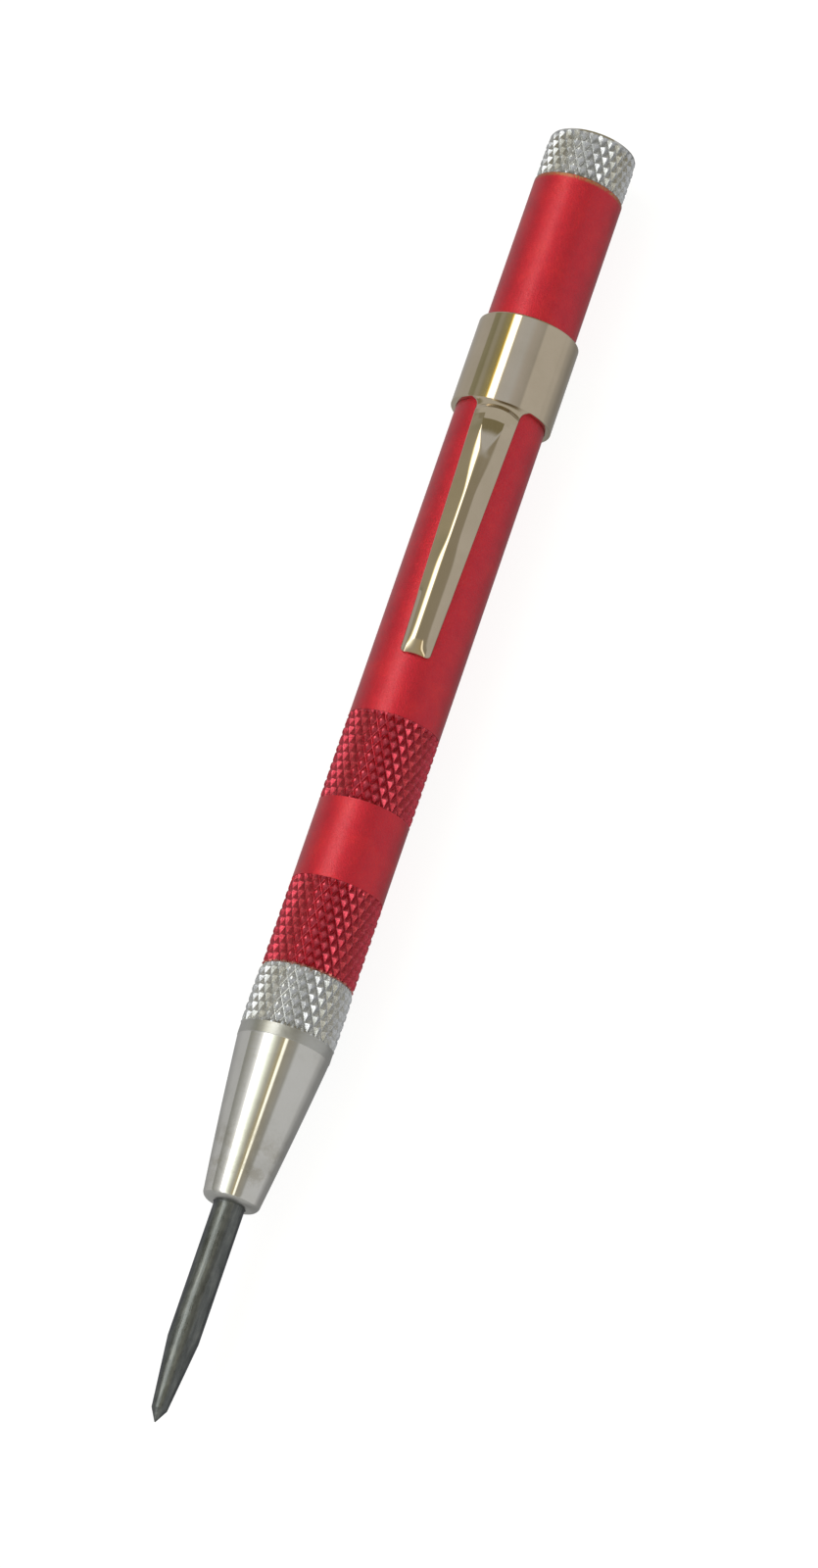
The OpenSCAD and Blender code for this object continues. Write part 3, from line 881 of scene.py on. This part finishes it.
def aluminium_knurled():
    """Bare knurling: darker grey with the depth of the cut, as painted shade, and so brighter on flanks
    and crests.
    """
    n = Metal("bare_aluminium_knurl")
    cloud = n.noise(1100, 1100, 5.0, 0.65)
    grain = n.noise(6500, 6500, 3.0, 0.65)
    # Painted shade: the colour darkens with the depth of the cut.
    tone = n.plus(n.range(grain, 0.3, 0.7, 0.35, 1.0), n.cut(), -0.3)
    colour = n.ramp(tone, [(0.0, (0.41, 0.415, 0.41)), (0.45, (0.585, 0.595, 0.60)),
                           (0.95, (0.78, 0.80, 0.82))])
    roughness = n.range(cloud, 0.35, 0.65, 0.13, 0.36)
    return n.surface(colour, roughness, grain, 0.00004, 0.8)


def nickel_plate():
    """Polished plating over brushed sheet, with painted shade, dark brown and rougher, in the crease
    and on the step by the band.
    """
    n = Metal("nickel_plate")
    brushed = n.noise(500, 9000, 3.0, 0.6)
    cloud = n.noise(350, 350, 4.0, 0.6)
    painted_shade = n.cut()
    colour = n.ramp(cloud, [(0.3, (0.56, 0.475, 0.35)), (0.7, (0.60, 0.51, 0.385))])
    # Painted shade: dark brown in the crease and on the step by the band.
    colour = n.mix(painted_shade, colour, (0.22, 0.16, 0.085, 1.0))
    roughness = n.plus(n.range(brushed, 0.3, 0.7, 0.04, 0.08), painted_shade, 0.35)
    return n.surface(colour, roughness, brushed, 0.000002, 0.3)


def dark_steel():
    """Blackened tool steel, with streaks left along it by grinding."""
    n = Metal("dark_steel")
    streaks = n.noise(260, 2600, 4.0, 0.65)
    cloud = n.noise(600, 900, 5.0, 0.7)
    tone = n.plus(n.math("MULTIPLY", streaks, 0.55), cloud, 0.45)
    colour = n.ramp(tone, [(0.36, (0.105, 0.112, 0.108)), (0.5, (0.155, 0.165, 0.160)),
                           (0.64, (0.23, 0.24, 0.225))])
    roughness = n.range(cloud, 0.3, 0.7, 0.24, 0.38)
    n.set(Specular_Tint=(0.6, 0.6, 0.66, 1.0))
    return n.surface(colour, roughness, tone, 0.00008, 0.6)


def ground_steel(name, tone, fine):
    """Clean steel for the inside, with rings or drawing marks of a fineness."""
    n = Metal(name)
    cloud = n.noise(600, 600, 4.0, 0.6)
    colour = n.ramp(cloud, [(0.3, tuple(0.85 * c for c in tone)), (0.7, tone)])
    roughness = n.range(cloud, 0.3, 0.7, 0.2, 0.32)
    return n.surface(colour, roughness, n.turned_lines(fine), 0.000006, 0.5)


# Floor: its half size in metres and how far it lies below the tool, what the paper throws back,
# what it throws back where the camera looks, and how much that is lifted towards white
FLOOR_HALF = 3.0
FLOOR_GAP = 0.0002
PAPER = 0.85
PAPER_SEEN = 0.3
PAPER_LIFT = 0.86

# Tone of the paper that the metal mirrors, by the distance to the side in metres
SHADE_SPAN = (-0.05, 0.02)
FLOOR_SHADE = ((-0.05, 0.59), (-0.035, 0.57), (-0.018, 0.42), (-0.012, 0.31), (-0.006, 0.31),
               (0.0, 0.42), (0.012, 0.49), (0.02, 0.54))


def floor_material():
    """White paper. The camera sees it white but for the object's shadow, and the metal mirrors
    it with a soft shade by the tool, on the side away from the lamp."""
    material = bpy.data.materials.new("white_paper")
    n = Nodes(material)
    n.tree.nodes.clear()

    def paper(tone):
        node = n.add("BsdfDiffuse")
        node.inputs["Color"].default_value = (tone, tone, tone, 1.0)
        return node.outputs[0]

    def glow(colour, strength=1.0):
        node = n.add("Emission")
        n.feed(node.inputs["Color"], colour)
        node.inputs["Strength"].default_value = strength
        return node.outputs[0]

    lifted = n.add("AddShader")
    n.feed(lifted.inputs[0], paper(PAPER_SEEN))
    n.feed(lifted.inputs[1], glow(WHITE, PAPER_LIFT))
    low, high = SHADE_SPAN
    stops = [((y - low) / (high - low), tone) for y, tone in FLOOR_SHADE]
    shaded = glow(n.ramp(n.range(n.axes("Object")["Y"], low, high), stops))
    path = n.add("LightPath").outputs
    shown = paper(PAPER)
    for ray, seen in (("Is Glossy Ray", shaded), ("Is Transmission Ray", shaded),
                      ("Is Camera Ray", lifted.outputs[0])):
        mix = n.add("MixShader")
        for socket, value in zip(mix.inputs, (path[ray], shown, seen)):
            n.feed(socket, value)
        shown = mix.outputs[0]
    n.feed(n.add("OutputMaterial").inputs["Surface"], shown)
    return material


def make_floor():
    bm = bmesh.new()
    bmesh.ops.create_grid(bm, x_segments=8, y_segments=8, size=FLOOR_HALF)
    mesh = bpy.data.meshes.new("floor_sheet")
    bm.to_mesh(mesh)
    bm.free()
    obj = bpy.data.objects.new("floor_sheet", mesh)
    obj.location = (0, 0, cad_low.z - FLOOR_GAP)
    bpy.context.scene.collection.objects.link(obj)
    mesh.materials.append(floor_material())


# Angle of the camera about the tool's axis, from straight up towards -Y
CAMERA_TILT = math.radians(5.17)

# The studio's tones by the angle about the tool's axis, from the camera towards the left, in
# degrees: a soft box up on the left, a dark gap beyond it, a pale wall on the right. Those in
# FRONT lie over the point, where a thin tube shows as well, ABOVE over the middle, and BEHIND
# over the cap. A dark GAP and plain walls lie beyond.
FRONT = [(-180, 0.58), (-35, 0.60), (-31, (0.50, 0.50, 0.48)), (-27, (0.37, 0.36, 0.33)),
         (-6, (0.38, 0.35, 0.28)), (-3, (1.5, 1.45, 1.25)), (1, (1.8, 1.75, 1.5)),
         (4, (0.50, 0.42, 0.24)), (16, (0.50, 0.49, 0.43)), (22, (0.74, 0.73, 0.62)),
         (28, (1.1, 1.15, 1.0)), (43, 2.4), (52, 2.6), (58, 1.05), (68, (0.62, 0.62, 0.61)),
         (80, (0.45, 0.45, 0.43)), (90, (0.34, 0.34, 0.32)), (103, (0.36, 0.36, 0.34)),
         (110, (0.50, 0.50, 0.49)), (180, 0.55)]
ABOVE = [(-180, 0.58), (-38, 0.60), (-34, (0.52, 0.52, 0.50)), (-26, (0.37, 0.35, 0.30)),
         (16, (0.36, 0.34, 0.28)), (23, (0.60, 0.58, 0.40)), (28, (2.8, 2.8, 2.7)),
         (51, (2.8, 2.8, 2.75)), (57, (1.4, 1.3, 0.75)), (62, (0.45, 0.43, 0.34)),
         (78, (0.42, 0.40, 0.33)), (90, (0.34, 0.34, 0.28)), (103, (0.38, 0.38, 0.36)),
         (110, (0.50, 0.50, 0.49)), (180, 0.55)]
BEHIND = [(-180, 0.60), (-34, 0.63), (-30, 0.46), (-12, (0.54, 0.54, 0.56)),
          (0, (0.60, 0.64, 0.71)), (22, (0.62, 0.65, 0.71)), (28, (0.64, 0.65, 0.60)), (30, 3.0),
          (44, (3.0, 3.0, 2.7)), (46, (1.3, 0.95, 0.09)), (50, (0.42, 0.38, 0.17)),
          (64, (0.36, 0.35, 0.25)), (70, (0.42, 0.42, 0.36)), (76, (0.42, 0.42, 0.36)),
          (81, (0.31, 0.31, 0.22)), (94, (0.35, 0.35, 0.27)), (102, (0.54, 0.54, 0.52)),
          (180, 0.60)]
GAP = [(-180, 0.58), (-38, (0.60, 0.60, 0.59)), (-33, (0.27, 0.25, 0.16)),
       (58, (0.27, 0.25, 0.16)), (66, (0.33, 0.31, 0.23)), (90, (0.36, 0.36, 0.32)),
       (103, (0.40, 0.40, 0.37)), (110, (0.50, 0.50, 0.49)), (180, 0.55)]
FAR_WALL = (0.60, 0.60, 0.58, 1.0)
DARK_END = (0.26, 0.22, 0.13, 1.0)
FRONT_WALL = (0.58, 0.58, 0.57, 1.0)
DARK_FRONT = (0.16, 0.15, 0.15, 1.0)

# Where each of them takes over from the one before: the x of the direction, from and to
ZONES = ((0.09, 0.14, ABOVE), (0.312, 0.352, BEHIND), (0.425, 0.45, GAP), (0.53, 0.57, FAR_WALL),
         (0.74, 0.80, DARK_END), (-0.6, -0.68, FRONT_WALL), (-0.94, -0.97, DARK_FRONT))


def make_world():
    """Soft studio that the metal mirrors and that lights the scene. The camera sees white."""
    world = bpy.data.worlds.new("studio")
    bpy.context.scene.world = world
    n = Nodes(world)
    n.tree.nodes.clear()
    way = n.axes("Generated")
    angle = n.math("ARCTAN2", way["Y"], way["Z"])
    turn = n.range(angle, -math.pi - CAMERA_TILT, math.pi - CAMERA_TILT)

    def tones(stops):
        return n.ramp(turn, [((degrees + 180) / 360, tone) for degrees, tone in stops])

    studio = tones(FRONT)
    for start, end, tone in ZONES:
        next_tone = tones(tone) if isinstance(tone, list) else tone
        studio = n.mix(n.range(way["X"], start, end), studio, next_tone)
    background = n.add("Background")
    shown = n.mix(n.add("LightPath").outputs["Is Camera Ray"], studio, WHITE)
    n.feed(background.inputs["Color"], shown)
    n.feed(n.add("OutputWorld").inputs["Surface"], background.outputs[0])


# The camera, as fitted to the object's outline: place in metres, directions, lens in millimetres
CAMERA_PLACE = (-0.174615, -0.053423, 0.560185)
CAMERA_RIGHT = (0.30975, -0.95076, 0.01083)
CAMERA_AHEAD = (0.29716, 0.08598, -0.95095)
CAMERA_LENS = 133.669
CAMERA_REACH = (0.05, 20)


def make_camera():
    data = bpy.data.cameras.new("camera")
    data.sensor_width = 36
    data.lens = CAMERA_LENS
    data.clip_start, data.clip_end = CAMERA_REACH
    obj = bpy.data.objects.new("camera", data)
    right = Vector(CAMERA_RIGHT).normalized()
    ahead = Vector(CAMERA_AHEAD).normalized()
    up = right.cross(ahead).normalized()
    right = ahead.cross(up).normalized()
    turn = Matrix((right, up, -ahead)).transposed()
    obj.matrix_world = Matrix.Translation(CAMERA_PLACE) @ turn.to_4x4()
    bpy.context.scene.collection.objects.link(obj)
    bpy.context.scene.camera = obj


def dress(obj, materials, slot, body, *nodes):
    """Gives a piece its materials, puts it under its body, and hides the CAD nodes it stands for. The
    slot is not used.
    """
    for material in materials:
        obj.data.materials.append(material)
    if body:
        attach(obj, body)
    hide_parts(*nodes)


def build():
    make_camera()
    make_floor()
    make_world()
    bpy.context.scene.view_settings.view_transform = "Standard"
    red, aluminium, nickel, dark = red_anodised(), bare_aluminium(), nickel_plate(), dark_steel()
    ground = ground_steel("ground_steel", (0.45, 0.46, 0.47), 5000)
    wire = ground_steel("spring_wire", (0.50, 0.51, 0.53), 900)
    red_grip, bare_grip, dull = red_knurled(), aluminium_knurled(), dull_aluminium()
    dress(make_barrel(), (red, red_grip), "anodised_red", "barrel", "barrel")
    dress(make_nose(), (aluminium, bare_grip, dull), "bare_aluminium", "barrel", "nose_piece")
    dress(make_point(), (dark,), "dark_steel", "point", "punch_point")
    dress(make_cap(), (aluminium, bare_grip), "bare_aluminium", "cap", "adjusting_cap")
    clip = make_clip()
    dress(clip, (nickel,), "nickel_plate", None, "clip_band", "clip_tongue")
    neck = clip_height(1.0, 0)
    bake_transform(clip)
    low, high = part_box("return_spring")
    coil = make_spring("return_coil", *RETURN_SPRING, station(low.x), station(high.x))
    dress(coil, (wire,), "spring_wire", "barrel", "return_spring")
    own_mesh(coil)
    low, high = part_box("main_spring")
    coil = make_spring("main_coil", *MAIN_SPRING, station(low.x), station(high.x))
    dress(coil, (wire,), "spring_wire", "seat", "main_spring")
    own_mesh(coil)
    for node in ("plunger", "release_pin", "hammer", "spring_seat"):
        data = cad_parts[node].data
        data.materials.clear()
        data.materials.append(ground)


build()
